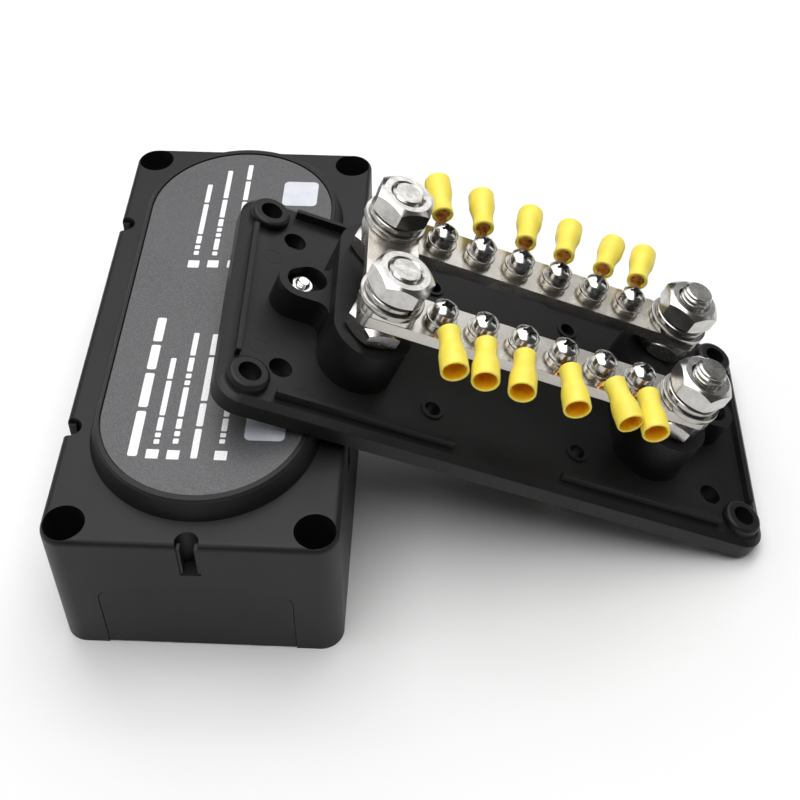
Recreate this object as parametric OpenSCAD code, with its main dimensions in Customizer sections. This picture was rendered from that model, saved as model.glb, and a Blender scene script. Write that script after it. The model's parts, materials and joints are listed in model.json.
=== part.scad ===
// Heavy-duty bus bar box: moulded cover lying on the floor, base leaning on it.
// Units: mm. Floor is z = 0, the cover's long edges run along Y.

/* [Cover] */
// overall length of the cover
cover_len = 180.1; // [120:0.1:260]
// overall width of the cover
cover_wid = 85.7; // [60:0.1:130]
// height of the cover's flat top
cover_h = 50.4; // [42:0.1:90]
// moulded wall thickness
cover_wall = 2.0; // [1.5:0.1:4]
// radius of the upright corners
cover_r = 7.0; // [3:0.5:12]
// rounding of the top edges
cover_edge = 2.2; // [1:0.1:3]
// rise of the oval rim above the top
rim_h = 6.5; // [2:0.5:10]
// outer half width of the oval rim at its foot
rim_foot_r = 34.7; // [25:0.1:36]
// outer half width of the oval rim at its top
rim_top_r = 32.4; // [24:0.1:35.5]
// half length of the oval rim at its foot
rim_foot_y = 82.9; // [60:0.1:84]
// offset of the oval towards the rear
rim_off = 1.65; // [-3:0.05:3]
// half width of the label recess
recess_r = 31.2; // [20:0.1:34]
// half length of the label recess
recess_y = 78.4; // [55:0.1:80]
// depth of the label recess below the rim
recess_d = 1.15; // [1:0.05:3]
// diameter of the deep corner wells
well_d = 12.2; // [9:0.1:12.4]
// height of the seat at the bottom of each well
well_seat = 9.0; // [7:0.5:20]
// diameter of the screw hole in each seat
seat_hole_d = 4.5; // [3:0.1:6]
// half width of the end knock-out panel
panel_hw = 28.7; // [15:0.1:30]
// height of the panel's straight sides
panel_side_h = 23.5; // [15:0.5:30]
// height of the panel's arched top
panel_top_h = 31.2; // [20:0.5:36]

/* [Fixing grid] */
// corner hole spacing along the length
grid_len = 166; // [110:1:240]
// corner hole spacing across the width
grid_wid = 71.6; // [50:0.1:110]

/* [Base] */
// overhang of the base past the corner holes
base_edge = 9.1; // [7:0.1:14]
// thickness of the base plate
base_t = 7.0; // [4:0.5:12]
// corner radius of the base plate
base_r = 8.5; // [4:0.5:12]
// height of the corner collars
collar_h = 3.0; // [2:0.5:6]
// hole through each corner collar
collar_hole_d = 7.0; // [4:0.1:7]
// height of the stud pedestals
ped_h = 15.9; // [10:0.1:25]
// radius of the pedestal ends
ped_r = 12.5; // [10:0.5:15]
// mounting hole spacing along the length
mount_len = 146.8; // [100:0.1:160]
// mounting hole spacing across the width
mount_wid = 56.2; // [40:0.1:60]
// diameter of the four mounting holes
mount_d = 7.2; // [4:0.1:8]

/* [Bars and studs] */
// length of each bus bar
bar_len = 117.2; // [80:0.1:140]
// width of each bus bar
bar_wid = 15.0; // [12:0.5:20]
// thickness of each bus bar
bar_t = 3.9; // [2:0.1:6]
// stud spacing along the bars
stud_len = 101.2; // [70:0.1:120]
// stud spacing across the two bars
stud_wid = 34.2; // [26:0.1:40]
// stud thread diameter
stud_d = 10; // [8:1:10]
// height of the stud ends above the base plate
stud_top = 41.6; // [38:0.1:44]
// width of the link plate
link_wid = 16.5; // [14:0.5:22]
// thickness of the link plate
link_t = 3.0; // [1.5:0.1:3]
// stud nut size across flats
nut_af = 17; // [15:1:17]
// stud nut height
nut_h = 7.6; // [6:0.1:8.4]

/* [Terminals] */
// screw spacing along each bar
screw_pitch = 13.2; // [10:0.1:16]
// position of the first screw along the bar
screw_x0 = -34.0; // [-40:0.1:-28]
// screw thread diameter
screw_d = 4; // [3:1:4]
// sleeve diameter at the barrel
sleeve_d = 6.8; // [6:0.1:7]
// sleeve diameter at the wire entry
bell_d = 8.4; // [6:0.1:8.6]
// distance from screw to sleeve end
sleeve_end = 24.0; // [20:0.1:25]

/* [Resting pose] */
// slope of the leaning base
lean = 22.127; // [0:0.001:40]
// turn of the leaning base about the upright
turn = 0.863; // [-5:0.001:5]
// offset of the whole set along X
shift_x = -66.35; // [-100:0.05:0]

/* [Hidden] */
fine = 96;
g = 0.02;
chx = cover_wid / 2;
chy = cover_len / 2;
gx = grid_wid / 2;
gy = grid_len / 2;
bhx = grid_len / 2 + base_edge;
bhy = grid_wid / 2 + base_edge;
sx = stud_len / 2;
sy = stud_wid / 2;
bar_z0 = ped_h + 6.6;
bar_z1 = bar_z0 + bar_t;
link_z0 = bar_z1 + g;
link_z1 = link_z0 + link_t;
fw_t = 2.0;
sw_t = 2.0;
panel_t = 1.6;
recess_z = cover_h + rim_h - recess_d;
arch_r = (pow(panel_hw - 3.2, 2) + pow(panel_top_h - panel_side_h - 3.0, 2))
  / (2 * (panel_top_h - panel_side_h - 3.0));
tongue_t = 1.3;
cw_t = 1.1;
cs_t = 1.4;
tongue_z = bar_z1 + g;
cw_z = tongue_z + tongue_t + g;
cs_z = cw_z + cw_t + g;
head_z = cs_z + cs_t + g;
axis_z = bar_z1 + 4.9;
ang_front = [7, -2, -6, 5, 16, 4];
ang_rear = [-7.5, -2, 9, 12, 19, 15];
ear_x = 72.6;
ear_h = 10.2;

// ---------- placement ----------
module placed() {
  translate([shift_x, 0, 0]) children();
}

module on_base() {
  translate([shift_x + 90.26, -8.10, 41.18 + 0.08])
    rotate([0, 0, turn]) rotate([0, lean, 0]) children();
}

// ---------- shared shapes ----------
module round_slab(hx, hy, r, h) {
  translate([-hx + r, -hy, 0]) cube([2 * (hx - r), 2 * hy, h]);
  translate([-hx, -hy + r, 0]) cube([2 * hx, 2 * (hy - r), h]);
  for (i = [-1, 1])
    for (j = [-1, 1])
      translate([i * (hx - r), j * (hy - r), 0]) cylinder(r = r, h = h, $fn = fine);
}

module oval_slab(r, hy, h) {
  translate([-r, -(hy - r), 0]) cube([2 * r, 2 * (hy - r), h]);
  for (j = [-1, 1])
    translate([0, j * (hy - r), 0]) cylinder(r = r, h = h, $fn = fine);
}

module oval_cone(r1, r2, s, h) {
  // oval whose wall leans from r1 at the foot to r2 at the top
  for (j = [-1, 1])
    translate([0, j * s, 0]) cylinder(r1 = r1, r2 = r2, h = h, $fn = fine);
  rotate([90, 0, 0]) translate([0, 0, -s]) linear_extrude(2 * s)
    polygon([[-r1, 0], [r1, 0], [r2, h], [-r2, h]]);
}

module hex_prism(af, h) {
  intersection() {
    cylinder(r = af / sqrt(3), h = h, $fn = 6);
    cylinder(r1 = af * 0.447 + h * 1.45, r2 = af * 0.447, h = h, $fn = fine);
    cylinder(r1 = af * 0.447, r2 = af * 0.447 + h * 1.45, h = h, $fn = fine);
  }
}

module ring_of(ro, ri, h) {
  difference() {
    cylinder(r = ro, h = h, $fn = fine);
    translate([0, 0, -1]) cylinder(r = ri, h = h + 2, $fn = fine);
  }
}

// ---------- cover ----------
module panel_shape(hw, side, top, t) {
  // arched plate standing in the XZ plane, thickness along +Y
  intersection() {
    translate([-hw, 0, 0]) cube([2 * hw, t, top + 1]);
    union() {
      translate([-hw, 0, 0]) cube([2 * hw, t, side]);
      translate([-hw + 3.2, 0, 0]) cube([2 * hw - 6.4, t, side + 3.0]);
      for (i = [-1, 1])
        translate([i * (hw - 3.2), 0, side - 0.2])
          rotate([-90, 0, 0]) cylinder(r = 3.2, h = t, $fn = fine);
      intersection() {
        translate([-hw + 3.2, 0, side]) cube([2 * hw - 6.4, t, top - side]);
        translate([0, 0, top - arch_r]) rotate([-90, 0, 0])
          cylinder(r = arch_r, h = t, $fn = fine);
      }
    }
  }
}

module side_pocket() {
  // upright half-round pocket with a narrow slot and two thin rails, open at the wall (+Y)
  difference() {
    union() {
      translate([0, 0, 36.4]) cylinder(r = 3.5, h = 20, $fn = fine);
      translate([-3.0, 0, 36.4]) cube([6.0, 6, 20]);
    }
    for (i = [-1, 1])
      translate([i * 2.6 - 0.5, -1, 36]) cube([1.0, 2.3, 12.4]);
  }
}

module pocket_block() {
  translate([-5.2, -5.4, 34.4]) cube([10.4, 6, 16]);
}

module at_pockets() {
  for (j = [-1, 1]) {
    translate([0, j * (chy - 1.7), 0]) rotate([0, 0, j > 0 ? 0 : 180]) children();
    for (i = [-1, 1])
      translate([i * (chx - 1.7), j * 47, 0]) rotate([0, 0, i > 0 ? -90 : 90]) children();
  }
}

module cover_shell() {
  color([0.16, 0.155, 0.15]) placed()
  difference() {
    union() {
      round_slab(chx, chy, cover_r, cover_h - cover_edge);
      for (k = [0:3])
        translate([0, 0, cover_h - cover_edge * (1 - sin(22.5 * k))])
          slab_chamfer(
            chx - cover_edge * (1 - cos(22.5 * k)), chy - cover_edge * (1 - cos(22.5 * k)),
            cover_r - cover_edge * (1 - cos(22.5 * k)),
            cover_edge * (sin(22.5 * k + 22.5) - sin(22.5 * k)),
            cover_edge * (cos(22.5 * k) - cos(22.5 * k + 22.5)));
      translate([0, rim_off, cover_h - 0.5])
        oval_cone(rim_foot_r + 0.17, rim_top_r + 0.25, rim_foot_y - rim_foot_r, rim_h - 0.1);
      translate([0, rim_off, cover_h + rim_h - 0.6])
        oval_cone(rim_top_r + 0.2, rim_top_r - 0.4, rim_foot_y - rim_foot_r, 0.6);
    }
    difference() {
      union() {
        translate([0, 0, -1])
          round_slab(chx - cover_wall, chy - cover_wall, cover_r - cover_wall, cover_h - 1.4);
        translate([0, rim_off, cover_h - 4])
          oval_slab(rim_top_r - 3.4, rim_foot_y - 5.2, recess_z - 2.2 - cover_h + 4);
      }
      for (i = [-1, 1])
        for (j = [-1, 1]) {
          translate([i * gx, j * gy, 3.3]) cylinder(r = 7.4, h = cover_h, $fn = fine);
          translate([i * (gx + 3.6) - 3.8, j * (gy + 3.6) - 3.8, 3.3]) cube([7.6, 7.6, cover_h]);
        }
      at_pockets() pocket_block();
    }
    translate([0, rim_off, recess_z]) oval_slab(recess_r, recess_y, 5);
    for (i = [-1, 1])
      for (j = [-1, 1])
        translate([i * gx, j * gy, 0]) {
          translate([0, 0, well_seat]) cylinder(d = well_d, h = cover_h, $fn = fine);
          cylinder(d = seat_hole_d, h = well_seat + 1, $fn = fine);
        }
    at_pockets() side_pocket();
    for (j = [-1, 1])
      translate([0, j * (chy - 1), -1]) rotate([0, 0, j > 0 ? 0 : 180])
        translate([0, -2, 0])
          panel_shape(panel_hw + 0.15, panel_side_h + 1.15, panel_top_h + 1.15, 4);
  }
}

module label_plate() {
  color([0.30, 0.30, 0.31]) placed()
    translate([0, rim_off, recess_z + g]) oval_slab(recess_r - 0.3, recess_y - 0.3, 0.8);
}

module end_panel(j) {
  color([0.16, 0.155, 0.15]) placed()
    translate([0, j * (chy - 0.15), 0.6]) rotate([0, 0, j > 0 ? 0 : 180])
      translate([0, -panel_t, 0])
        panel_shape(panel_hw - 0.05, panel_side_h - 0.65, panel_top_h - 0.65, panel_t);
}

module end_panel_front() {
  end_panel(-1);
}

module end_panel_rear() {
  end_panel(1);
}

// ---------- base ----------
module slab_chamfer(hx, hy, r, h, c) {
  // top layer whose sides lean inwards by c over the height h
  for (i = [-1, 1])
    for (j = [-1, 1])
      translate([i * (hx - r), j * (hy - r), 0])
        cylinder(r1 = r, r2 = r - c, h = h, $fn = fine);
  rotate([90, 0, 0]) translate([0, 0, -(hy - r)]) linear_extrude(2 * (hy - r))
    polygon([[-hx, 0], [hx, 0], [hx - c, h], [-hx + c, h]]);
  rotate([90, 0, 90]) translate([0, 0, -(hx - r)]) linear_extrude(2 * (hx - r))
    polygon([[-hy, 0], [hy, 0], [hy - c, h], [-hy + c, h]]);
}

module pedestal(i) {
  for (j = [-1, 1])
    translate([i * sx, j * sy, g]) cylinder(r = ped_r, h = ped_h - g, $fn = fine);
  translate([i * sx - ped_r, -sy, g]) cube([2 * ped_r, 2 * sy, ped_h - g]);
}

module ear(i) {
  translate([i * ear_x, 0, g]) cylinder(r = 7.1, h = ear_h - g, $fn = fine);
  translate([i * (ear_x - 7) - 7, -7.1, g]) cube([14, 14.2, ear_h - g]);
  difference() {
    translate([i * (sx + ped_r + 1) - 2.4, -10.4, g]) cube([4.8, 20.8, ear_h - g]);
    for (j = [-1, 1])
      translate([i * (sx + ped_r + 3.4), j * 10.4, -2]) cylinder(r = 3.2, h = ear_h + 4, $fn = fine);
  }
}

module ear_slot(i) {
  translate([i * 72.2, 0.4, 4.4]) cylinder(r = 4.9, h = 20, $fn = fine);
  translate([i * 69.4, 2.2, 4.4]) cylinder(r = 4.9, h = 20, $fn = fine);
  translate([i * 70.8, 1.3, 4.4]) rotate([0, 0, -i * 32.7])
    translate([-1.66, -4.9, 0]) cube([3.32, 9.8, 20]);
}

module stud_block(i) {
  color([0.15, 0.15, 0.155]) on_base()
  difference() {
    union() {
      pedestal(i);
      ear(i);
    }
    ear_slot(i);
    translate([i * 71.5, 1.4, -1]) cylinder(d = 4.3, h = 20, $fn = fine);
    for (j = [-1, 1])
      translate([i * sx, j * sy, ped_h - 11]) cylinder(r = 4.0, h = 12, $fn = fine);
  }
}

module stud_block_left() {
  stud_block(-1);
}

module stud_block_right() {
  stud_block(1);
}

module base_plate() {
  color([0.15, 0.15, 0.155]) on_base()
  difference() {
    union() {
      translate([0, 0, -base_t]) round_slab(bhx, bhy, base_r, base_t - 1.5);
      translate([0, 0, -1.5]) slab_chamfer(bhx, bhy, base_r, 1.5, 2.4);
      for (i = [-1, 1]) {
        for (j = [-1, 1]) {
          translate([i * gy, j * gx, -1]) cylinder(r = 6.5, h = collar_h - 0.4, $fn = fine);
          translate([i * gy, j * gx, -1]) cylinder(r = 5.1, h = collar_h + 1, $fn = fine);
          translate([i * gy, j * gx, collar_h - 1.4]) rotate_extrude($fn = fine)
            translate([5.1, 0]) circle(r = 1.4, $fn = 48);
          translate([i * 46.2 - 28.2, j * 39.95 - 0.8, -1]) cube([56.4, 1.6, 4.0]);
          translate([i * (mount_len / 2 - 48.6), j * 27.2, -1])
            cylinder(r = 3.7, h = 1.7, $fn = fine);
        }
        translate([i * 87.15 - 0.8, -28.4, -1]) cube([1.6, 56.8, 4.0]);
      }
    }
    translate([0, 0, -base_t - 1])
      round_slab(bhx - 12, bhy - 12, 4, 2.6);
    for (i = [-1, 1]) {
      translate([i * 71.5, 1.4, -base_t - 1]) cylinder(d = 4.3, h = 20, $fn = fine);
      for (j = [-1, 1]) {
        translate([i * gy, j * gx, -base_t - 1])
          cylinder(d = collar_hole_d, h = 20, $fn = fine);
        translate([i * mount_len / 2, j * mount_wid / 2, -base_t - 1])
          cylinder(d = mount_d, h = 20, $fn = fine);
        translate([i * (mount_len / 2 - 48.6), j * 27.2, -base_t - 1])
          cylinder(d = 5, h = 20, $fn = fine);
      }
    }
  }
}

// ---------- conductors ----------
module bus_bar(j) {
  color([0.83, 0.81, 0.77]) on_base() translate([0, j * sy, bar_z0])
  difference() {
    round_slab(bar_len / 2, bar_wid / 2, 3, bar_t);
    for (i = [-1, 1])
      translate([i * sx, 0, -1]) cylinder(d = stud_d + 0.5, h = bar_t + 2, $fn = fine);
    for (k = [0:5])
      translate([screw_x0 + k * screw_pitch, 0, -1])
        cylinder(d = screw_d + 0.1, h = bar_t + 2, $fn = fine);
  }
}

module bus_bar_front() {
  bus_bar(-1);
}

module bus_bar_rear() {
  bus_bar(1);
}

module link_plate() {
  color([0.86, 0.84, 0.80]) on_base() translate([-50.3, 0, link_z0])
  difference() {
    round_slab(link_wid / 2, sy + bar_wid / 2, 3.4, link_t);
    for (j = [-1, 1])
      translate([50.3 - sx, j * sy, -1]) cylinder(d = stud_d + 0.6, h = link_t + 2, $fn = fine);
  }
}

// ---------- stud hardware ----------
module at_stud(i, j) {
  on_base() translate([i * sx, j * sy, 0]) children();
}

module stud_bolt(i, j) {
  at_stud(i, j) {
    translate([0, 0, bar_z0 - g]) rotate([180, 0, i < 0 ? -12.6 : 14])
      hex_prism(nut_af, bar_z0 - ped_h - 2 * g);
    translate([0, 0, bar_z0 - 1]) cylinder(d = stud_d, h = stud_top - bar_z0, $fn = fine);
    translate([0, 0, ped_h - 10.8]) cylinder(r = 3.95, h = 12, $fn = fine);
    translate([0, 0, stud_top - 1])
      cylinder(r1 = stud_d / 2, r2 = stud_d / 2 - 0.8, h = 1, $fn = fine);
  }
}

module stud_bolts() {
  color([0.78, 0.77, 0.75]) {
    for (i = [-1, 1])
      for (j = [-1, 1])
        stud_bolt(i, j);
  }
}

function stack_z(i) = i < 0 ? link_z1 + g : bar_z1 + g;

module flat_washers() {
  color([0.80, 0.80, 0.79]) {
    for (i = [-1, 1])
      for (j = [-1, 1])
        at_stud(i, j) translate([0, 0, stack_z(i)]) ring_of(10, stud_d / 2 + 0.25, fw_t);
  }
}

module spring_washer(i, j) {
  color([0.74, 0.73, 0.71]) at_stud(i, j) translate([0, 0, stack_z(i) + fw_t + g])
  difference() {
    ring_of(8.9, stud_d / 2 + 0.1, sw_t);
    rotate([0, 0, i < 0 ? -62 : -150]) translate([3.5, -0.5, -1])
      rotate([0, 0, 8]) cube([8, 1.0, 6]);
  }
}

module spring_washer_lf() {
  spring_washer(-1, -1);
}

module spring_washer_lr() {
  spring_washer(-1, 1);
}

module spring_washer_rf() {
  spring_washer(1, -1);
}

module spring_washer_rr() {
  spring_washer(1, 1);
}

module stud_nut(i, j, a) {
  color([0.82, 0.81, 0.79]) at_stud(i, j)
  translate([0, 0, stack_z(i) + fw_t + sw_t + 2 * g]) rotate([0, 0, a])
  difference() {
    hex_prism(nut_af, nut_h);
    translate([0, 0, -1]) cylinder(r = stud_d / 2 + 0.05, h = nut_h + 2, $fn = fine);
    translate([0, 0, nut_h - 0.8]) cylinder(r1 = stud_d / 2, r2 = stud_d / 2 + 0.9, h = 0.82, $fn = fine);
  }
}

module stud_nut_lf() {
  stud_nut(-1, -1, -2);
}

module stud_nut_lr() {
  stud_nut(-1, 1, 22);
}

module stud_nut_rf() {
  stud_nut(1, -1, 33);
}

module stud_nut_rr() {
  stud_nut(1, 1, 28);
}

// ---------- terminals ----------
module at_screw(k, j) {
  on_base() translate([screw_x0 + k * screw_pitch, j * sy, 0]) children();
}

module at_lug(k, j) {
  // local +X points from the screw towards the wire entry
  a = j < 0 ? -90 + ang_front[k] : 90 - ang_rear[k];
  at_screw(k, j) rotate([0, 0, a]) children();
}

module ring_lug(k, j) {
  at_lug(k, j) {
    difference() {
      union() {
        translate([0, 0, tongue_z]) cylinder(r = 4.4, h = tongue_t, $fn = fine);
        translate([0, -2.1, tongue_z]) cube([5.3, 4.2, tongue_t]);
        translate([0, 0, tongue_z]) rotate([90, 0, 0])
          linear_extrude(3.0, center = true)
            polygon([[4, 0], [6.2, 0], [8.0, 3.3], [9.3, 3.3], [9.3, 4.4], [7.4, 4.4], [5.35, 1.3], [4, 1.3]]);
      }
      translate([0, 0, tongue_z - 1]) cylinder(r = 2.15, h = 4, $fn = fine);
    }
    translate([8.9, 0, axis_z]) rotate([0, 90, 0]) {
      ring_of(2.2, 1.5, 7.0);
      cylinder(r = 1.8, h = 0.9, $fn = fine);
    }
  }
}

module ring_lugs_front() {
  color([0.78, 0.60, 0.42]) {
    for (k = [0:5])
      ring_lug(k, -1);
  }
}

module ring_lugs_rear() {
  color([0.78, 0.60, 0.42]) {
    for (k = [0:5])
      ring_lug(k, 1);
  }
}

module sleeve(k, j) {
  at_lug(k, j) translate([8.2, 0, axis_z]) rotate([0, 90, 0])
  difference() {
    union() {
      cylinder(d = sleeve_d, h = 6.4, $fn = fine);
      translate([0, 0, 6.4]) cylinder(d1 = sleeve_d, d2 = bell_d, h = 2.6, $fn = fine);
      translate([0, 0, 9.0]) cylinder(d = bell_d, h = sleeve_end - 8.2 - 9.0, $fn = fine);
    }
    translate([0, 0, -1]) cylinder(r = 2.25, h = 8.8, $fn = fine);
    translate([0, 0, 7.4]) cylinder(r = 2.0, h = 2, $fn = fine);
    translate([0, 0, 9.0]) cylinder(r = 3.2, h = 10, $fn = fine);
  }
}

module sleeves_front() {
  color([0.98, 0.90, 0.36]) {
    for (k = [0:5])
      sleeve(k, -1);
  }
}

module sleeves_rear() {
  color([0.98, 0.90, 0.36]) {
    for (k = [0:5])
      sleeve(k, 1);
  }
}

module captive_washers(k, j) {
  color([0.76, 0.75, 0.74]) at_screw(k, j) {
    translate([0, 0, cw_z]) ring_of(4.9, screw_d / 2 + 0.1, cw_t);
    translate([0, 0, cs_z])
    difference() {
      ring_of(3.7, screw_d / 2 + 0.1, cs_t);
      rotate([0, 0, -70 + 37 * k]) translate([1.2, -0.3, -1]) rotate([0, 0, 8]) cube([4, 0.6, 4]);
    }
  }
}

module terminal_screw(k, j) {
  color([0.84, 0.83, 0.82]) at_screw(k, j)
  difference() {
    union() {
      translate([0, 0, head_z]) cylinder(r = 3.95, h = 1.5, $fn = fine);
      intersection() {
        translate([0, 0, head_z + 1.5]) cylinder(r = 3.95, h = 2.1, $fn = fine);
        translate([0, 0, head_z + 3.6 - 5.2]) sphere(r = 5.2, $fn = fine);
      }
      translate([0, 0, bar_z0 - 1.6]) cylinder(d = screw_d, h = head_z - bar_z0 + 2.2, $fn = fine);
    }
    translate([0, 0, head_z + 1.3]) rotate([0, 0, 20 + 31 * k]) {
      for (q = [0, 90])
        rotate([90, 0, q]) linear_extrude(1.0, center = true)
          polygon([[-1, 0], [1, 0], [2.7, 2.5], [-2.7, 2.5]]);
      cylinder(r1 = 0.75, r2 = 1.55, h = 2.5, $fn = 32);
    }
  }
}

module washers_f1() {
  captive_washers(0, -1);
}

module washers_f2() {
  captive_washers(1, -1);
}

module washers_f3() {
  captive_washers(2, -1);
}

module washers_f4() {
  captive_washers(3, -1);
}

module washers_f5() {
  captive_washers(4, -1);
}

module washers_f6() {
  captive_washers(5, -1);
}

module washers_r1() {
  captive_washers(0, 1);
}

module washers_r2() {
  captive_washers(1, 1);
}

module washers_r3() {
  captive_washers(2, 1);
}

module washers_r4() {
  captive_washers(3, 1);
}

module washers_r5() {
  captive_washers(4, 1);
}

module washers_r6() {
  captive_washers(5, 1);
}

module screw_f1() {
  terminal_screw(0, -1);
}

module screw_f2() {
  terminal_screw(1, -1);
}

module screw_f3() {
  terminal_screw(2, -1);
}

module screw_f4() {
  terminal_screw(3, -1);
}

module screw_f5() {
  terminal_screw(4, -1);
}

module screw_f6() {
  terminal_screw(5, -1);
}

module screw_r1() {
  terminal_screw(0, 1);
}

module screw_r2() {
  terminal_screw(1, 1);
}

module screw_r3() {
  terminal_screw(2, 1);
}

module screw_r4() {
  terminal_screw(3, 1);
}

module screw_r5() {
  terminal_screw(4, 1);
}

module screw_r6() {
  terminal_screw(5, 1);
}

// ---------- ear fasteners ----------
module ear_screws() {
  color([0.84, 0.83, 0.82]) {
    for (i = [-1, 1])
      on_base() translate([i * 71.5, 1.4, 0]) {
        translate([0, 0, -6.75]) cylinder(r = 3.6, h = 1.33, $fn = fine);
        translate([0, 0, -6]) cylinder(d = 4, h = 15.0, $fn = fine);
      }
  }
}

module ear_nuts() {
  color([0.84, 0.83, 0.82]) {
    for (i = [-1, 1])
      on_base() translate([i * 71.5, 1.4, 4.4 + g]) rotate([0, 0, 14 * i])
        difference() {
          hex_prism(7, 3.2);
          translate([0, 0, -1]) cylinder(r = 2.05, h = 6, $fn = fine);
        }
  }
}

cover_shell();
label_plate();
end_panel_front();
end_panel_rear();
base_plate();
stud_block_left();
stud_block_right();
bus_bar_front();
bus_bar_rear();
link_plate();
stud_bolts();
flat_washers();
spring_washer_lf();
spring_washer_lr();
spring_washer_rf();
spring_washer_rr();
stud_nut_lf();
stud_nut_lr();
stud_nut_rf();
stud_nut_rr();
ring_lugs_front();
ring_lugs_rear();
sleeves_front();
sleeves_rear();
ear_screws();
ear_nuts();
washers_f1();
washers_f2();
washers_f3();
washers_f4();
washers_f5();
washers_f6();
washers_r1();
washers_r2();
washers_r3();
washers_r4();
washers_r5();
washers_r6();
screw_f1();
screw_f2();
screw_f3();
screw_f4();
screw_f5();
screw_f6();
screw_r1();
screw_r2();
screw_r3();
screw_r4();
screw_r5();
screw_r6();
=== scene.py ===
import json
from math import atan2, ceil, cos, hypot, pi, radians, sin, tan

import bmesh
import bpy
from mathutils import Euler, Matrix, Vector


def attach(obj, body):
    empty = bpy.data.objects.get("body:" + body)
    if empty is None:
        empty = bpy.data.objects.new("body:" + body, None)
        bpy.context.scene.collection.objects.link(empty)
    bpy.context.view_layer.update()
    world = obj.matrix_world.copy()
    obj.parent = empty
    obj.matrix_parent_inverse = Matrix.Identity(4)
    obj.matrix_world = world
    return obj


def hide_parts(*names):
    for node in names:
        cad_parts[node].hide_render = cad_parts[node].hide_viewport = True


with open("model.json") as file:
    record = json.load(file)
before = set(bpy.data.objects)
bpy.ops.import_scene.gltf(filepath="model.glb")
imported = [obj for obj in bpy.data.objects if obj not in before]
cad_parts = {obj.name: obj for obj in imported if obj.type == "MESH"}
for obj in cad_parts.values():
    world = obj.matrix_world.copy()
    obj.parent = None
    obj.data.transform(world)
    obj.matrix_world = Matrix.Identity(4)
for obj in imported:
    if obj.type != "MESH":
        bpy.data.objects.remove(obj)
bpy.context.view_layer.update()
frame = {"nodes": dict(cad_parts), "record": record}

# ------------------------------------------------------------------
# where things are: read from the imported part
# ------------------------------------------------------------------
MOUNTS = {m["name"]: m for m in frame["record"]["mounts"]}


def spot(name):
    return Vector(MOUNTS[name]["pos_m"])


MM = Matrix.Scale(0.001, 4)
MOUNT_DEPTH = 0.0020  # metres from the base's own origin down to the middle of its collar mounts
LEAN = radians(22.1)  # how far the base is tipped from the floor

# the leaning base has its own axes: x along the bars, y across them, z out of the plate
_near = spot("collar_hole_left_front")
_far = spot("collar_hole_right_rear")
_along = (spot("collar_hole_right_front") - _near).normalized()
_up = Vector(MOUNTS["collar_hole_left_front"]["axis"]).normalized()
_across = _up.cross(_along).normalized()
ON_BASE = Matrix((_along, _across, _up)).transposed().to_4x4()
ON_BASE.translation = (_near + _far) / 2 + _up * MOUNT_DEPTH
ON_BASE = ON_BASE @ MM
FROM_BASE = ON_BASE.inverted()

# the cover stands square on the floor, centred on its own corner screws
ON_COVER = Matrix.Translation((spot("cover_screw_holes").x, 0, 0)) @ MM
FROM_COVER = ON_COVER.inverted()


def reach(node, back):
    """Lowest and highest corner of a CAD node in millimetres, along the axes that back leads to."""
    pts = [back @ v.co for v in frame["nodes"][node].data.vertices]
    low = Vector([min(p[i] for p in pts) for i in range(3)])
    high = Vector([max(p[i] for p in pts) for i in range(3)])
    return low, high


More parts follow.
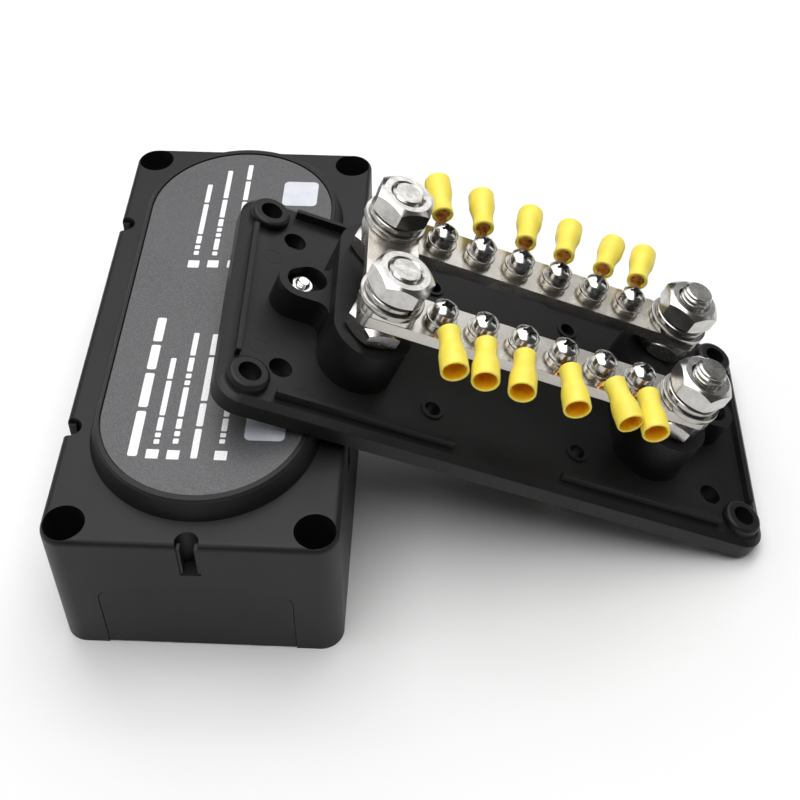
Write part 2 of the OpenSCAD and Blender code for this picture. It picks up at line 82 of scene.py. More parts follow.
# ------------------------------------------------------------------
# materials
# ------------------------------------------------------------------
class Paint:
    """A node material put together one step at a time."""

    def __init__(self, name):
        self.mat = bpy.data.materials.new(name)
        self.mat.use_nodes = True
        self.tree = self.mat.node_tree
        self.shader = self.tree.nodes["Principled BSDF"]
        self.place = self.tree.nodes.new("ShaderNodeTexCoord")
        self.height = None

    def add(self, kind, **settings):
        node = self.tree.nodes.new(kind)
        for key, value in settings.items():
            if hasattr(node, key):
                setattr(node, key, value)
            else:
                node.inputs[key].default_value = value
        return node

    def join(self, a, b):
        self.tree.links.new(a, b)

    def sized(self, scale, source="Object", turn=(0, 0, 0)):
        node = self.add("ShaderNodeMapping")
        node.inputs["Scale"].default_value = scale
        node.inputs["Rotation"].default_value = turn
        self.join(self.place.outputs[source], node.inputs["Vector"])
        return node.outputs["Vector"]

    def noise(self, scale, detail=3.0, rough=0.5, where=None):
        node = self.add("ShaderNodeTexNoise", Scale=scale, Detail=detail, Roughness=rough)
        self.join(where if where is not None else self.place.outputs["Object"], node.inputs["Vector"])
        return node.outputs["Fac"]

    def ramp(self, value, low, high, to_low, to_high):
        node = self.add("ShaderNodeMapRange")
        node.inputs["From Min"].default_value = low
        node.inputs["From Max"].default_value = high
        node.inputs["To Min"].default_value = to_low
        node.inputs["To Max"].default_value = to_high
        self.join(value, node.inputs["Value"])
        return node.outputs["Result"]

    def shades(self, value, stops):
        node = self.add("ShaderNodeValToRGB")
        ramp = node.color_ramp
        while len(ramp.elements) < len(stops):
            ramp.elements.new(0.5)
        for element, (at, colour) in zip(ramp.elements, stops):
            element.position = at
            element.color = (*colour, 1)
        self.join(value, node.inputs["Fac"])
        return node.outputs["Color"]

    def mixed(self, factor, a, b):
        node = self.add("ShaderNodeMix", data_type="RGBA")
        sockets = node.inputs[0], node.inputs[6], node.inputs[7]
        for source, socket in zip((factor, a, b), sockets):
            if isinstance(source, (int, float)):
                socket.default_value = source
            elif isinstance(source, tuple):
                socket.default_value = (*source, 1)
            else:
                self.join(source, socket)
        return node.outputs[2]

    def bump(self, value, strength, distance):
        node = self.add("ShaderNodeBump", Strength=strength, Distance=distance)
        self.join(value, node.inputs["Height"])
        if self.height is not None:
            self.join(self.height, node.inputs["Normal"])
        self.height = node.outputs["Normal"]

    def done(self, colour=None, roughness=None, **plain):
        for key, value in plain.items():
            self.shader.inputs[key.replace("_", " ")].default_value = value
        if colour is not None:
            self.join(colour, self.shader.inputs["Base Color"])
        if roughness is not None:
            self.join(roughness, self.shader.inputs["Roughness"])
        if self.height is not None:
            self.join(self.height, self.shader.inputs["Normal"])
        return self.mat


def shaded(colour, *factors):
    """A colour with each channel multiplied by its factor."""
    return tuple(channel * factor for channel, factor in zip(colour, factors))


def moulded_black(name, dark, light, low_rough, high_rough, grain):
    """Satin black moulding: spark-eroded grain, faint flow shading, a few scuffs."""
    p = Paint(name)
    fine = p.noise(5200, 2, 0.6)
    medium = p.noise(1500, 3, 0.55)
    cloud = p.noise(38, 4, 0.6)
    scuff = p.noise(60, 6, 0.7, p.sized((1, 0.12, 1), turn=(0, 0, 0.5)))
    tone = p.mixed(p.ramp(cloud, 0.3, 0.7, 0, 1), dark, light)
    speck = p.ramp(fine, 0.62, 0.8, 0, 0.22)
    tone = p.mixed(speck, tone, shaded(light, 2.4, 2.4, 2.4))
    worn = p.ramp(scuff, 0.66, 0.74, 0, 0.10)
    tone = p.mixed(worn, tone, (0.06, 0.06, 0.06))
    rough = p.ramp(cloud, 0.3, 0.7, low_rough, high_rough)
    p.bump(medium, 0.12, 0.00012)
    p.bump(fine, grain, 0.00006)
    return p.done(tone, rough, Specular_IOR_Level=0.3)


def label_film(name):
    """Matt dark grey printed film with a sandy sparkle."""
    p = Paint(name)
    sand = p.noise(4200, 2, 0.7)
    cloud = p.noise(30, 3, 0.5)
    grits = [(0.32, (0.036, 0.036, 0.039)), (0.52, (0.079, 0.079, 0.083)), (0.74, (0.180, 0.180, 0.186))]
    tone = p.shades(sand, grits)
    tone = p.mixed(p.ramp(cloud, 0.3, 0.7, 0.0, 0.35), tone, (0.10, 0.10, 0.105))
    rough = p.ramp(sand, 0.3, 0.7, 0.52, 0.36)
    p.bump(sand, 0.18, 0.00005)
    return p.done(tone, rough)


def printed_ink(name):
    p = Paint(name)
    worn = p.noise(1800, 4, 0.7)
    whites = [(0.30, (0.55, 0.55, 0.56)), (0.46, (0.86, 0.86, 0.87)), (1.0, (0.92, 0.92, 0.93))]
    tone = p.shades(worn, whites)
    p.bump(worn, 0.15, 0.00003)
    return p.done(tone, p.ramp(worn, 0.3, 0.7, 0.5, 0.38))


def silver_window(name):
    p = Paint(name)
    cloud = p.noise(120, 3, 0.5)
    tone = p.shades(cloud, [(0.25, (0.52, 0.54, 0.60)), (0.75, (0.72, 0.74, 0.79))])
    p.bump(p.noise(2600, 2), 0.08, 0.00003)
    return p.done(tone, p.ramp(cloud, 0.3, 0.7, 0.30, 0.42), Coat_Weight=0.25, Coat_Roughness=0.2)


def rolled_bar(name, warm):
    """Bright tin plate over a drawn bar: faint lengthwise drawing marks and soft cloudy patches."""
    p = Paint(name)
    along = p.noise(900, 3, 0.6, p.sized((0.05, 1.0, 1.0), turn=(0, LEAN, 0)))
    cloud = p.noise(130, 4, 0.55)
    pit = p.noise(2600, 2, 0.5)
    tone = p.mixed(p.ramp(cloud, 0.32, 0.68, 0, 1), warm, shaded(warm, 0.93, 0.905, 0.87))
    tone = p.mixed(p.ramp(pit, 0.66, 0.8, 0, 0.35), tone, (0.5, 0.46, 0.40))
    rough = p.ramp(cloud, 0.3, 0.7, 0.22, 0.30)
    p.bump(along, 0.10, 0.00006)
    p.bump(cloud, 0.03, 0.0003)
    p.bump(pit, 0.05, 0.00005)
    return p.done(tone, rough, Metallic=1.0)


def turned_steel(name, colour, low, high, rings=0.0, pits=0.06):
    """Bright fastener steel; the piece's own UV map holds the distance from its axis in millimetres."""
    p = Paint(name)
    cloud = p.noise(420, 4, 0.55)
    pit = p.noise(3600, 2, 0.5)
    tone = p.mixed(p.ramp(cloud, 0.3, 0.7, 0, 1), colour, shaded(colour, 0.84, 0.83, 0.80))
    rough = p.ramp(cloud, 0.3, 0.7, low, high)
    if rings:
        wave = p.add("ShaderNodeTexWave", wave_type="RINGS", rings_direction="SPHERICAL", Scale=1.9,
                     Distortion=0.5, Detail=2)
        p.join(p.place.outputs["UV"], wave.inputs["Vector"])
        p.bump(wave.outputs["Fac"], rings, 0.00004)
    p.bump(cloud, 0.03, 0.0002)
    p.bump(pit, pits, 0.00004)
    return p.done(tone, rough, Metallic=1.0)


def soft_vinyl(name, colour, deep, translucent):
    """Yellow sleeve vinyl: slightly waxy, a little light comes through the wall."""
    p = Paint(name)
    cloud = p.noise(260, 3, 0.5)
    fine = p.noise(2200, 2, 0.5)
    tone = p.mixed(p.ramp(cloud, 0.3, 0.7, 0, 1), colour, deep)
    rough = p.ramp(fine, 0.3, 0.7, 0.36, 0.50)
    p.bump(cloud, 0.10, 0.0004)
    p.bump(fine, 0.05, 0.00005)
    return p.done(tone, rough, Subsurface_Weight=translucent, Subsurface_Scale=0.0016,
                  Subsurface_Radius=(1.0, 0.55, 0.12))


def copper_barrel(name):
    p = Paint(name)
    cloud = p.noise(700, 4, 0.6)
    coppers = [(0.28, (0.55, 0.24, 0.06)), (0.5, (0.80, 0.43, 0.14)), (0.75, (0.94, 0.64, 0.32))]
    tone = p.shades(cloud, coppers)
    p.bump(cloud, 0.15, 0.0002)
    return p.done(tone, p.ramp(cloud, 0.3, 0.7, 0.22, 0.42), Metallic=1.0)


COVER_BLACK = moulded_black("cover_black", (0.0098, 0.0092, 0.0093), (0.0128, 0.0121, 0.0122),
                            0.42, 0.52, 0.22)
BASE_BLACK = moulded_black("base_black", (0.0062, 0.0062, 0.0065), (0.0086, 0.0086, 0.0089), 0.38, 0.50, 0.16)
PANEL_BLACK = moulded_black("panel_black", (0.0084, 0.0079, 0.0080), (0.0112, 0.0106, 0.0107),
                            0.43, 0.53, 0.22)
FILM = label_film("label_film")
INK = printed_ink("label_ink")
WINDOW = silver_window("label_window")
BAR_PLATE = rolled_bar("bar_plating", (0.60, 0.580, 0.54))
LINK_PLATE = rolled_bar("link_plating", (0.72, 0.695, 0.65))
STUD_STEEL = turned_steel("stud_steel", (0.57, 0.56, 0.54), 0.17, 0.30, rings=0.10)
NUT_STEEL = turned_steel("nut_steel", (0.61, 0.60, 0.585), 0.16, 0.27, rings=0.12)
WASHER_STEEL = turned_steel("washer_steel", (0.50, 0.49, 0.475), 0.15, 0.27, rings=0.05)
SCREW_STEEL = turned_steel("screw_steel", (0.66, 0.655, 0.64), 0.14, 0.26, rings=0.0, pits=0.04)
TONGUE_TIN = turned_steel("tongue_tin", (0.66, 0.62, 0.56), 0.20, 0.32)
COPPER = copper_barrel("barrel_copper")
VINYL = soft_vinyl("sleeve_vinyl", (0.96, 0.80, 0.115), (0.94, 0.74, 0.080), 0.35)
# painted shade: the bore's deeper orange stands for the shade and coloured bounce light inside the sleeve
VINYL_BORE_SHADE = soft_vinyl("sleeve_bore_painted_shade", (1.0, 0.60, 0.010), (0.98, 0.54, 0.006), 0.45)
# painted shade: a dark copy of the screw steel for the hollow of the cross recess
RECESS_PAINTED_SHADE = turned_steel("recess_painted_shade", (0.17, 0.165, 0.16), 0.30, 0.42)


# ------------------------------------------------------------------
# shaping
# ------------------------------------------------------------------
def outline(points, closed=True):
    """A thin profile of (radius, height) points, ready to be spun about z."""
    bm = bmesh.new()
    verts = [bm.verts.new((r, 0, z)) for r, z in points]
    for a, b in zip(verts, verts[1:]):
        bm.edges.new((a, b))
    if closed:
        bm.edges.new((verts[-1], verts[0]))
    return bm


def turned(points, steps=64, closed=True):
    """A profile spun a full turn about z."""
    bm = outline(points, closed)
    bmesh.ops.spin(bm, geom=bm.verts[:] + bm.edges[:], cent=(0, 0, 0), axis=(0, 0, 1), dvec=(0, 0, 0),
                   angle=2 * pi, steps=steps, use_merge=True)
    bmesh.ops.remove_doubles(bm, verts=bm.verts, dist=1e-4)
    bmesh.ops.recalc_face_normals(bm, faces=bm.faces)
    return bm


def bevelled(bm, edges, width, segments, **more):
    """A rounded edge of the given width along each of the edges."""
    bmesh.ops.bevel(bm, geom=edges, offset=width, offset_type="OFFSET", segments=segments, profile=0.5,
                    affect="EDGES", clamp_overlap=True, material=-1, **more)
    return bm


def own_axis_map(bm):
    """UV map of millimetres from the piece's own axis, for turning marks."""
    uv = bm.loops.layers.uv.verify()
    for face in bm.faces:
        for loop in face.loops:
            loop[uv].uv = (loop.vert.co.x, loop.vert.co.y)


def moved(bm, matrix):
    bmesh.ops.transform(bm, matrix=matrix, verts=bm.verts)
    return bm


def gathered(parts):
    """Several bmeshes joined into one."""
    whole = bmesh.new()
    whole.loops.layers.uv.verify()
    for part in parts:
        mesh = bpy.data.meshes.new("part")
        part.to_mesh(mesh)
        part.free()
        whole.from_mesh(mesh)
        bpy.data.meshes.remove(mesh)
    return whole


def settled(bm, name, body, materials, stands_for=(), crease=32, paint=None):
    """Turns a finished bmesh into a piece that rides on a body."""
    for face in bm.faces:
        face.smooth = True
        if paint is not None:
            face.material_index = paint(face)
    for edge in bm.edges:
        edge.smooth = not (len(edge.link_faces) == 2 and edge.calc_face_angle(0) > radians(crease))
    mesh = bpy.data.meshes.new(name)
    bm.to_mesh(mesh)
    bm.free()
    obj = bpy.data.objects.new(name, mesh)
    bpy.context.collection.objects.link(obj)
    for material in materials:
        mesh.materials.append(material)
    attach(obj, body)
    if stands_for:
        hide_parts(*stands_for)
    even = obj.modifiers.new("even_light", "WEIGHTED_NORMAL")
    even.mode = "FACE_AREA"
    even.weight = 80
    even.keep_sharp = True
    return obj


def merged_copy(node, back):
    """A welded copy of a CAD node in millimetres on its own axes, flat faces whole again."""
    bm = bmesh.new()
    bm.from_mesh(frame["nodes"][node].data)
    moved(bm, back)
    bmesh.ops.remove_doubles(bm, verts=bm.verts, dist=0.002)
    bmesh.ops.dissolve_limit(bm, angle_limit=radians(0.6), verts=bm.verts, edges=bm.edges,
                             use_dissolve_boundaries=False)
    for layer in list(bm.loops.layers.uv.values()):
        bm.loops.layers.uv.remove(layer)
    return bm


def eased(bm, width, segments=2, sharper=30, chosen=None):
    """Rounds the sharp edges of a copy."""
    edges = [e for e in bm.edges if len(e.link_faces) == 2 and e.calc_face_angle(0) > radians(sharper)]
    if chosen is not None:
        edges = [e for e in edges if chosen(e)]
    return bevelled(bm, edges, width, segments, loop_slide=True)


# ------------------------------------------------------------------
# cover
# ------------------------------------------------------------------
cover = merged_copy("cover_shell", FROM_COVER)
eased(cover, 0.25, 2, 38)
moved(cover, ON_COVER)
settled(cover, "cover_moulding", "cover", [COVER_BLACK], ["cover_shell"])

for end in ("front", "rear"):
    panel = merged_copy("end_panel_" + end, FROM_COVER)
    eased(panel, 0.22, 3, 35)
    moved(panel, ON_COVER)
    settled(panel, "knock_out_panel_" + end, end + "_panel", [PANEL_BLACK],
            ["end_panel_" + end])

# label film with its printed marks: plain bars, boxes and two windows
film_top = reach("label_plate", FROM_COVER)[1].z
film = merged_copy("label_plate", FROM_COVER)
eased(film, 0.2, 2, 35)
moved(film, ON_COVER)
settled(film, "label_sheet", "cover", [FILM], ["label_plate"])


def slab(x0, x1, y0, y1, z0, z1, corner=0.0, edge=0.0):
    """A flat block with rounded upright corners and, where asked, eased edges."""
    bm = bmesh.new()
    bmesh.ops.create_cube(bm, size=1.0)
    centre = Matrix.Translation(((x0 + x1) / 2, (y0 + y1) / 2, (z0 + z1) / 2))
    moved(bm, centre @ Matrix.Diagonal((x1 - x0, y1 - y0, z1 - z0, 1)))
    if corner:
        upright = [e for e in bm.edges if abs(e.verts[0].co.z - e.verts[1].co.z) > 1e-6]
        bevelled(bm, upright, corner, 8)
    if edge:
        rims = [e for e in bm.edges if len(e.link_faces) == 2 and e.calc_face_angle(0) > radians(60)]
        bevelled(bm, rims, edge, 2)
    return bm


ink_low, ink_high = film_top - 0.02, film_top + 0.035
WORD_GAP = 0.45


def word_row(x, half_height, y0, y1, words):
    """A row of plain bars of uneven length, running along y."""
    total = sum(words) + WORD_GAP * (len(words) - 1)
    unit = (y1 - y0) / total
    at = y0
    bars = []
    for length in words:
        bars.append(slab(x - half_height, x + half_height, at, at + length * unit, ink_low, ink_high,
                         corner=half_height * 0.45))
        at += (length + WORD_GAP) * unit
    return bars


# rows of print: place across the label, half height, start, end, and the words' relative lengths
PRINT_ROWS = [
    (-18.9, 1.45, -62.8, -5.4, [5, 4, 3, 3]),
    (-12.6, 0.85, -57.9, -23.0, [1, 1, 3, 8, 5]),
    (-7.0, 0.85, -57.6, -11.7, [1, 1, 2, 6, 1, 1, 3, 5]),
    (-0.9, 1.0, -63.0, -12.0, [5, 4, 8, 4]),
    (6.6, 0.85, -57.0, -24.0, [1, 1, 3, 8, 5]),
    (-12.6, 0.85, 25.0, 62.0, [1, 1, 2, 8, 5]),
    (-6.4, 0.85, 25.0, 70.0, [1, 3, 1, 1, 2, 5, 8]),
    (0.5, 0.85, 25.7, 73.5, [1, 1, 2, 8, 5, 4]),
    (7.2, 0.85, 25.7, 48.0, [1, 1, 2, 8]),
]
BOX_WIDE, BOX_LONG = 3.7, 3.5
BOX_CORNERS = [
    (-14.6, 18.7), (-8.2, 19.0), (-1.6, 19.2), (5.2, 19.4),
    (-15.0, -63.5), (-8.9, -63.6), (5.0, -63.3),
]

marks = []
for row in PRINT_ROWS:
    marks += word_row(*row)
for x0, y0 in BOX_CORNERS:
    marks.append(slab(x0, x0 + BOX_WIDE, y0, y0 + BOX_LONG, ink_low, ink_high, corner=0.2))
ink = gathered(marks)
moved(ink, ON_COVER)
settled(ink, "label_printing", "cover", [INK])

windows = gathered([slab(*sides, ink_low, film_top + 0.09, corner=1.8, edge=0.03)
                    for sides in ((13.4, 25.4, 51.8, 64.8), (12.8, 24.8, -55.4, -44.6))])
moved(windows, ON_COVER)
settled(windows, "label_windows", "cover", [WINDOW])

# ------------------------------------------------------------------
# base moulding
# ------------------------------------------------------------------
blocks = []
for side in ("left", "right"):
    block = merged_copy("stud_block_" + side, FROM_BASE)
    eased(block, 0.35, 2, 33, lambda e: max(v.co.z for v in e.verts) > 1.0)
    for v in block.verts:
        if v.co.z < 0.1:
            v.co.z = -0.3
    blocks.append(block)
plate = merged_copy("base_plate", FROM_BASE)
eased(plate, 0.3, 2, 33)
base = gathered([plate] + blocks)
moved(base, ON_BASE)
settled(base, "base_moulding", "base", [BASE_BLACK],
        ["base_plate", "stud_block_left", "stud_block_right"])


def ejector_mark(x, y, radius, top):
    """A faint moulded ring left by an ejector pin."""
    ring = turned([(radius - 0.16, top - 0.05), (radius - 0.10, top + 0.045), (radius + 0.10, top + 0.045),
                   (radius + 0.16, top - 0.05)], 40)
    return moved(ring, Matrix.Translation((x, y, 0)))


PIN_PLACES = [(-80, 18), (-81, -22), (-66, -37), (70, -37), (80, 20), (79, -18), (-66, 36), (68, 36),
              (-28, 2), (28, -2), (0, 33), (0, -36)]
pins = gathered([ejector_mark(x, y, 2.9, 0.0) for x, y in PIN_PLACES])
moved(pins, ON_BASE)
settled(pins, "base_ejector_marks", "base", [BASE_BLACK])

# ------------------------------------------------------------------
# bars and link
# ------------------------------------------------------------------
for row in ("front", "rear"):
    bar = merged_copy("bus_bar_" + row, FROM_BASE)
    eased(bar, 0.45, 3, 40)
    moved(bar, ON_BASE)
    settled(bar, "plated_bar_" + row, "base", [BAR_PLATE], ["bus_bar_" + row])
link = merged_copy("link_plate", FROM_BASE)
eased(link, 0.5, 3, 40)
moved(link, ON_BASE)
settled(link, "plated_link", "base", [LINK_PLATE], ["link_plate"])


# ------------------------------------------------------------------
# fasteners
# ------------------------------------------------------------------
HEX_CHAMFER = radians(34.6)


def hexagon(across, height, bore, face, mouth):
    """Hex body about z, its corners chamfered on both sides down to a circle of radius face."""
    far = 40.0
    bm = turned([(bore, mouth), (bore + mouth, 0), (face, 0), (far, 0), (far, height), (face, height),
                 (bore + mouth, height), (bore, height - mouth)], 96)
    for v in bm.verts:
        if hypot(v.co.x, v.co.y) < far - 1:
            continue
        turn = atan2(v.co.y, v.co.x)
        off = (turn + pi / 6) % (pi / 3) - pi / 6
        out = across / 2 / cos(pi / 6 - abs(off))
        drop = max(0.0, out - face) * tan(HEX_CHAMFER)
        v.co.x, v.co.y = out * cos(turn), out * sin(turn)
        v.co.z = height - drop if v.co.z > height / 2 else drop
    corners = [e for e in bm.edges if abs(e.verts[0].co.z - e.verts[1].co.z) > height * 0.3
               and hypot(e.verts[0].co.x, e.verts[0].co.y) > across / 2 * 1.12
               and e.calc_face_angle(0) > radians(20)]
    return bevelled(bm, corners, 0.28, 2)


def thread(crest, depth, pitch, bottom, top, lead=0.8, steps=40):
    """A real right-hand screw thread from bottom to top, with a chamfered end."""
    root = crest - depth
    turns = ceil((top - bottom) / pitch) + 2
    flank = [(root, 0), (root, pitch * 0.14), (crest, pitch * 0.46), (crest, pitch * 0.62), (root, pitch)]
    bm = outline(flank, closed=False)
    bmesh.ops.spin(bm, geom=bm.verts[:] + bm.edges[:], cent=(0, 0, 0), axis=(0, 0, 1),
                   dvec=(0, 0, pitch / steps), angle=2 * pi * turns, steps=steps * turns, use_merge=False)
    bmesh.ops.remove_doubles(bm, verts=bm.verts, dist=1e-4)
    moved(bm, Matrix.Translation((0, 0, bottom - pitch * 1.4)))
    for level, keep_below in ((top, True), (bottom, False)):
        cut = bmesh.ops.bisect_plane(bm, geom=bm.verts[:] + bm.edges[:] + bm.faces[:],
                                     plane_co=(0, 0, level), plane_no=(0, 0, 1 if keep_below else -1),
                                     clear_outer=True, clear_inner=False)
        rim = [e for e in cut["geom_cut"] if isinstance(e, bmesh.types.BMEdge)]
        bmesh.ops.holes_fill(bm, edges=rim, sides=0)
    for v in bm.verts:
        reach_out = hypot(v.co.x, v.co.y)
        limit = crest - max(0.0, v.co.z - (top - lead))
        if reach_out > limit:
            v.co.x *= limit / reach_out
            v.co.y *= limit / reach_out
    bmesh.ops.recalc_face_normals(bm, faces=bm.faces)
    return bm


def round_washer(outer, inner, thick, ease=0.22):
    """A flat washer with rounded rims."""
    rim = [(outer - ease * 1.5, 0), (outer - ease * 0.4, ease * 0.4), (outer, ease * 1.2),
           (outer, thick - ease * 1.6), (outer - ease * 0.5, thick - ease * 0.5), (outer - ease * 1.8, thick)]
    bore = [(inner + ease, thick), (inner, thick - ease), (inner, ease)]
    return turned([(inner + ease, 0)] + rim + bore, 96)


def split_washer(outer, inner, thick, gap=11.0, rise=0.0, ease=0.25):
    """A spring washer: one turn less its gap, square in section, its ends a little apart in height."""
    bm = outline([(inner + ease, 0), (outer - ease, 0), (outer, ease), (outer, thick - ease),
                  (outer - ease, thick), (inner + ease, thick), (inner, thick - ease), (inner, ease)])
    section = bmesh.ops.contextual_create(bm, geom=bm.edges[:])["faces"]
    steps = 84
    bmesh.ops.spin(bm, geom=section + bm.edges[:] + bm.verts[:], cent=(0, 0, 0), axis=(0, 0, 1),
                   dvec=(0, 0, rise / steps), angle=radians(360 - gap), steps=steps, use_merge=False)
    bmesh.ops.remove_doubles(bm, verts=bm.verts, dist=1e-4)
    bmesh.ops.recalc_face_normals(bm, faces=bm.faces)
    return bm


def spun(angle, x=0.0, y=0.0, z=0.0):
    """A turn about z in degrees, then a move."""
    return Matrix.Translation((x, y, z)) @ Matrix.Rotation(radians(angle), 4, "Z")


bar_low, bar_high = reach("bus_bar_front", FROM_BASE)
link_high = reach("link_plate", FROM_BASE)[1]
stud_low, stud_high = reach("stud_bolts", FROM_BASE)
washer_low, washer_high = reach("flat_washers", FROM_BASE)

HEX_FLATS = 17.0  # the hex of an M10 nut
HEX_FACE = 7.6  # radius of the chamfer circle on its faces
HEAD_HEIGHT = 6.5
STUD_CREST, STUD_DEPTH, STUD_PITCH = 4.95, 0.85, 1.5
FLAT_WASHER_R = 10.0
GAP = 0.02  # air left between pieces that lie on each other
stud_x = (washer_high.x - washer_low.x) / 2 - FLAT_WASHER_R
stud_y = (washer_high.y - washer_low.y) / 2 - FLAT_WASHER_R
head_foot = bar_low.z - HEAD_HEIGHT - 0.08

# place of each stud, and how far its head, its nut and the split of its spring washer are turned
STUDS = {
    "lf": (-stud_x, -stud_y, 12.6, -2.0, -52.0),
    "lr": (-stud_x, stud_y, 12.6, 22.0, 100.0),
    "rf": (stud_x, -stud_y, -14.0, 33.0, 120.0),
    "rr": (stud_x, stud_y, -14.0, 28.0, 120.0),
}

studs = []
flats = []
for key, (x, y, head_turn, nut_turn, split_turn) in STUDS.items():
    head = hexagon(HEX_FLATS, HEAD_HEIGHT, 4.0, HEX_FACE, mouth=0.0)
    moved(head, spun(head_turn, x, y, head_foot + GAP))
    shank = thread(STUD_CREST, STUD_DEPTH, STUD_PITCH, bar_low.z - 0.5, stud_high.z, 0.75)
    own_axis_map(shank)
    moved(shank, spun(head_turn * 3, x, y, 0))
    root = turned([(0, stud_low.z), (3.4, stud_low.z), (3.93, stud_low.z + 0.6), (3.93, head_foot + 0.3),
                   (0, head_foot + 0.3)], 48, closed=False)
    moved(root, spun(0, x, y, 0))
    studs += [head, shank, root]
    under = link_high.z if key[0] == "l" else bar_high.z
    flat = round_washer(FLAT_WASHER_R, 5.25, 1.96)
    own_axis_map(flat)
    moved(flat, spun(0, x, y, under + GAP))
    flats.append(flat)
    spring_low, spring_high = reach("spring_washer_" + key, FROM_BASE)
    spring = split_washer(8.9, 5.12, spring_high.z - spring_low.z - GAP, gap=9.0)
    own_axis_map(spring)
    moved(spring, spun(split_turn, x, y, spring_low.z + GAP / 2))
    moved(spring, ON_BASE)
    settled(spring, "split_washer_" + key, "spring_washer_" + key, [WASHER_STEEL],
            ["spring_washer_" + key])
    nut_low, nut_high = reach("stud_nut_" + key, FROM_BASE)
    nut = hexagon(HEX_FLATS, nut_high.z - nut_low.z, 5.05, HEX_FACE, mouth=0.65)
    own_axis_map(nut)
    moved(nut, spun(nut_turn, x, y, nut_low.z))
    moved(nut, ON_BASE)
    settled(nut, "hex_nut_" + key, "nut_" + key, [NUT_STEEL], ["stud_nut_" + key], crease=24)

studs = gathered(studs)
moved(studs, ON_BASE)
settled(studs, "threaded_studs", "base", [STUD_STEEL], ["stud_bolts"], crease=24)
flats = gathered(flats)
moved(flats, ON_BASE)
settled(flats, "stud_flat_washers", "base", [WASHER_STEEL], ["flat_washers"])

# small screws: the CAD heads with eased edges, plus washers made fresh
for row in "fr":
    for n in range(1, 7):
        key = row + str(n)
        low, high = reach("washers_" + key, FROM_BASE)
        x, y = (low.x + high.x) / 2, (low.y + high.y) / 2
        flat = round_washer(4.9, 2.1, 1.08, 0.14)
        own_axis_map(flat)
        moved(flat, Matrix.Translation((0, 0, low.z + GAP / 2)))
        split = split_washer(3.72, 2.12, 1.34, gap=14.0, rise=0.05, ease=0.16)
        own_axis_map(split)
        moved(split, spun(-60 + 41 * n, 0, 0, low.z + 1.11))
        pair = gathered([flat, split])
        moved(pair, Matrix.Translation((x, y, 0)))
        moved(pair, ON_BASE)
        settled(pair, "screw_washers_" + key, "washers_" + key, [WASHER_STEEL],
                ["washers_" + key])
        screw = merged_copy("screw_" + key, FROM_BASE)
        head_top = max(v.co.z for v in screw.verts)
        eased(screw, 0.10, 2, 28)
        screw.normal_update()
        # painted shade: the walls and floor of the cross recess take the dark recess colour
        recess_shade = screw.faces.layers.int.new("painted_shade_faces")
        for face in screw.faces:
            mid = face.calc_center_median()
            in_cross = hypot(mid.x - x, mid.y - y) < 2.8 and mid.z > head_top - 2.5
            face[recess_shade] = 1 if in_cross and (abs(face.normal.z) < 0.8 or mid.z < head_top - 1.7) else 0
        moved(screw, ON_BASE)
        settled(screw, "pan_screw_" + key, "screw_" + key, [SCREW_STEEL, RECESS_PAINTED_SHADE],
                ["screw_" + key], crease=40, paint=lambda f: f[recess_shade])

# screws and nuts in the two end ears
ear_low, ear_high = reach("ear_screws", FROM_BASE)
nut_low, nut_high = reach("ear_nuts", FROM_BASE)
SMALL_CREST, SMALL_DEPTH, SMALL_PITCH = 1.98, 0.36, 0.7
EAR_HEAD_R = 3.6
ear_x = ear_high.x - EAR_HEAD_R
ear_y = (ear_low.y + ear_high.y) / 2
small = []
for side in (-1, 1):
    body = thread(SMALL_CREST, SMALL_DEPTH, SMALL_PITCH, ear_low.z + 1.2, ear_high.z, 0.35, steps=32)
    own_axis_map(body)
    head = turned([(0, ear_low.z), (3.0, ear_low.z), (3.5, ear_low.z + 0.35), (EAR_HEAD_R, ear_low.z + 1.0),
                   (3.4, ear_low.z + 1.3), (0, ear_low.z + 1.3)], 48, closed=False)
    small += [moved(body, spun(0, side * ear_x, ear_y)), moved(head, spun(0, side * ear_x, ear_y))]
small = gathered(small)
moved(small, ON_BASE)
settled(small, "ear_machine_screws", "base", [SCREW_STEEL], ["ear_screws"], crease=24)
small = []
for side in (-1, 1):
    nut = hexagon(7.0, nut_high.z - nut_low.z, 2.05, 3.13, mouth=0.3)
    own_axis_map(nut)
    small.append(moved(nut, spun(14 * side, side * ear_x, ear_y, nut_low.z)))
small = gathered(small)
moved(small, ON_BASE)
settled(small, "ear_hex_nuts", "base", [SCREW_STEEL], ["ear_nuts"], crease=24)

# ------------------------------------------------------------------
# ring terminals
# ------------------------------------------------------------------
SLEEVE_LENGTH = 15.8
MOUTH_TO_TIP = 3.4  # how far a sleeve's outer end lies past its wire entry mount
# the sleeve's section (radius, height): up the outside to the flared end, then back down the bore
SLEEVE_WALL = [
    (2.27, 0.5), (2.42, 0.12), (2.75, 0.0), (3.2, 0.04), (3.4, 0.3), (3.42, 0.8), (3.34, 1.9),
    (3.24, 3.0), (3.24, 4.6), (3.36, 6.0), (3.62, 7.4), (3.90, 8.6), (4.10, 9.6), (4.17, 10.6),
    (4.18, 12.6), (4.2, SLEEVE_LENGTH - 0.45), (4.12, SLEEVE_LENGTH - 0.15), (3.9, SLEEVE_LENGTH),
    (3.62, SLEEVE_LENGTH - 0.06), (3.42, SLEEVE_LENGTH - 0.35), (3.26, SLEEVE_LENGTH - 1.2), (3.21, 9.2),
    (2.2, 8.8), (2.03, 8.4), (2.03, 7.85), (2.27, 7.8),
]

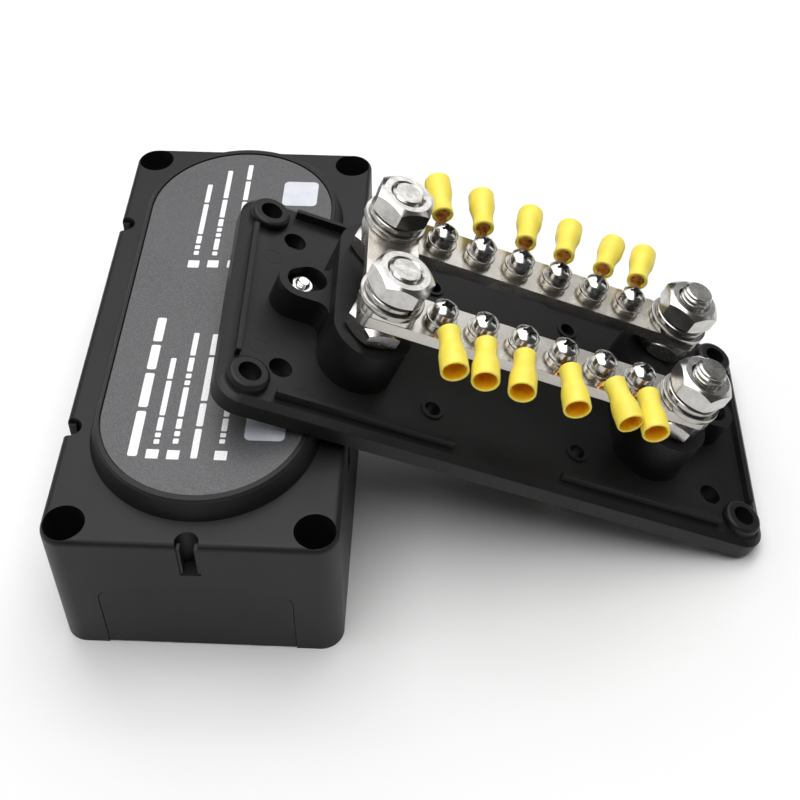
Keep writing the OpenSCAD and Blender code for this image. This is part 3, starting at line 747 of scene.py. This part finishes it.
for row in ("front", "rear"):
    lugs = merged_copy("ring_lugs_" + row, FROM_BASE)
    eased(lugs, 0.12, 2, 35)
    tongue = bar_high.z + 1.6
    moved(lugs, ON_BASE)
    settled(lugs, "terminal_lugs_" + row, "base", [TONGUE_TIN, COPPER], ["ring_lugs_" + row],
            paint=lambda f: 1 if (FROM_BASE @ f.calc_center_median()).z > tongue else 0)

    sleeves = []
    for n in range(1, 7):
        mouth = MOUNTS["wire_entry_%s_%d" % (row, n)]
        out = (FROM_BASE.to_3x3() @ Vector(mouth["axis"])).normalized()
        at = FROM_BASE @ Vector(mouth["pos_m"])
        sleeve = turned(SLEEVE_WALL, 56)
        own_axis_map(sleeve)
        frame_turn = out.to_track_quat("Z", "Y").to_matrix().to_4x4()
        # painted shade: faces of the bore take the deeper orange bore colour
        painted_shade_faces = sleeve.faces.layers.int.new("painted_shade_faces")
        for face in sleeve.faces:
            mid = face.calc_center_median()
            face[painted_shade_faces] = 1 if hypot(mid.x, mid.y) < 3.35 and 7.4 < mid.z < SLEEVE_LENGTH - 0.3 else 0
        moved(sleeve, Matrix.Translation(at + out * (MOUTH_TO_TIP - SLEEVE_LENGTH)) @ frame_turn)
        sleeves.append(sleeve)
    whole = gathered(sleeves)
    bore_shade = whole.faces.layers.int["painted_shade_faces"]
    moved(whole, ON_BASE)
    settled(whole, "yellow_sleeves_" + row, "base", [VINYL, VINYL_BORE_SHADE], ["sleeves_" + row],
            paint=lambda f: f[bore_shade])

# ------------------------------------------------------------------
# floor, light and camera
# ------------------------------------------------------------------
floor_mesh = bpy.data.meshes.new("studio_floor")
floor_bm = bmesh.new()
bmesh.ops.create_grid(floor_bm, x_segments=1, y_segments=1, size=3.0)
floor_bm.to_mesh(floor_mesh)
floor_bm.free()
floor = bpy.data.objects.new("studio_floor", floor_mesh)
bpy.context.collection.objects.link(floor)
pale = Paint("studio_paper")
pale_tone = pale.shades(pale.noise(3, 2), [(0.3, (0.90, 0.90, 0.90)), (0.7, (0.93, 0.93, 0.93))])
floor_mesh.materials.append(pale.done(pale_tone, None, Roughness=0.9, Specular_IOR_Level=0.1))


def softbox(name, where, aim, size, glow):
    """A softbox whose face has the brightness glow."""
    light = bpy.data.lights.new(name, "AREA")
    light.shape = "RECTANGLE"
    light.size, light.size_y = size
    light.energy = glow * size[0] * size[1] * 4
    obj = bpy.data.objects.new(name, light)
    bpy.context.collection.objects.link(obj)
    obj.location = where
    obj.rotation_euler = (Vector(aim) - Vector(where)).to_track_quat("-Z", "Y").to_euler()


softbox("overhead_box", (-0.05, 0.0, 1.20), (0, 0, 0.03), (1.5, 1.1), 2.45)
softbox("back_box", (-0.10, 1.05, 1.15), (0, 0, 0.03), (1.9, 0.8), 1.25)
softbox("back_right_box", (0.64, 1.17, 0.74), (0.03, 0, 0.06), (0.80, 0.38), 0.80)
softbox("left_box", (-1.15, -0.10, 0.60), (0, 0, 0.03), (0.9, 0.7), 1.0)
softbox("right_strip", (1.15, 0.20, 0.55), (0.03, 0, 0.04), (0.25, 0.8), 0.9)

bpy.context.scene.view_settings.view_transform = "Standard"
world = bpy.data.worlds.new("studio")
world.use_nodes = True
world.node_tree.nodes["Background"].inputs[0].default_value = (1, 1, 1, 1)
world.node_tree.nodes["Background"].inputs[1].default_value = 0.06
bpy.context.scene.world = world

lens = bpy.data.cameras.new("studio_camera")
lens.sensor_width = 36.0
lens.lens = 61.50
lens.clip_start = 0.01
camera = bpy.data.objects.new("studio_camera", lens)
bpy.context.collection.objects.link(camera)
CAMERA_TILT = Euler((radians(42.3502), radians(-0.2427), radians(2.3060)))
CAMERA_PLACE = Vector((0.067880 + spot("cover_screw_holes").x, -0.314685, 0.360924))
camera.matrix_world = Matrix.Translation(CAMERA_PLACE) @ CAMERA_TILT.to_matrix().to_4x4()
bpy.context.scene.camera = camera
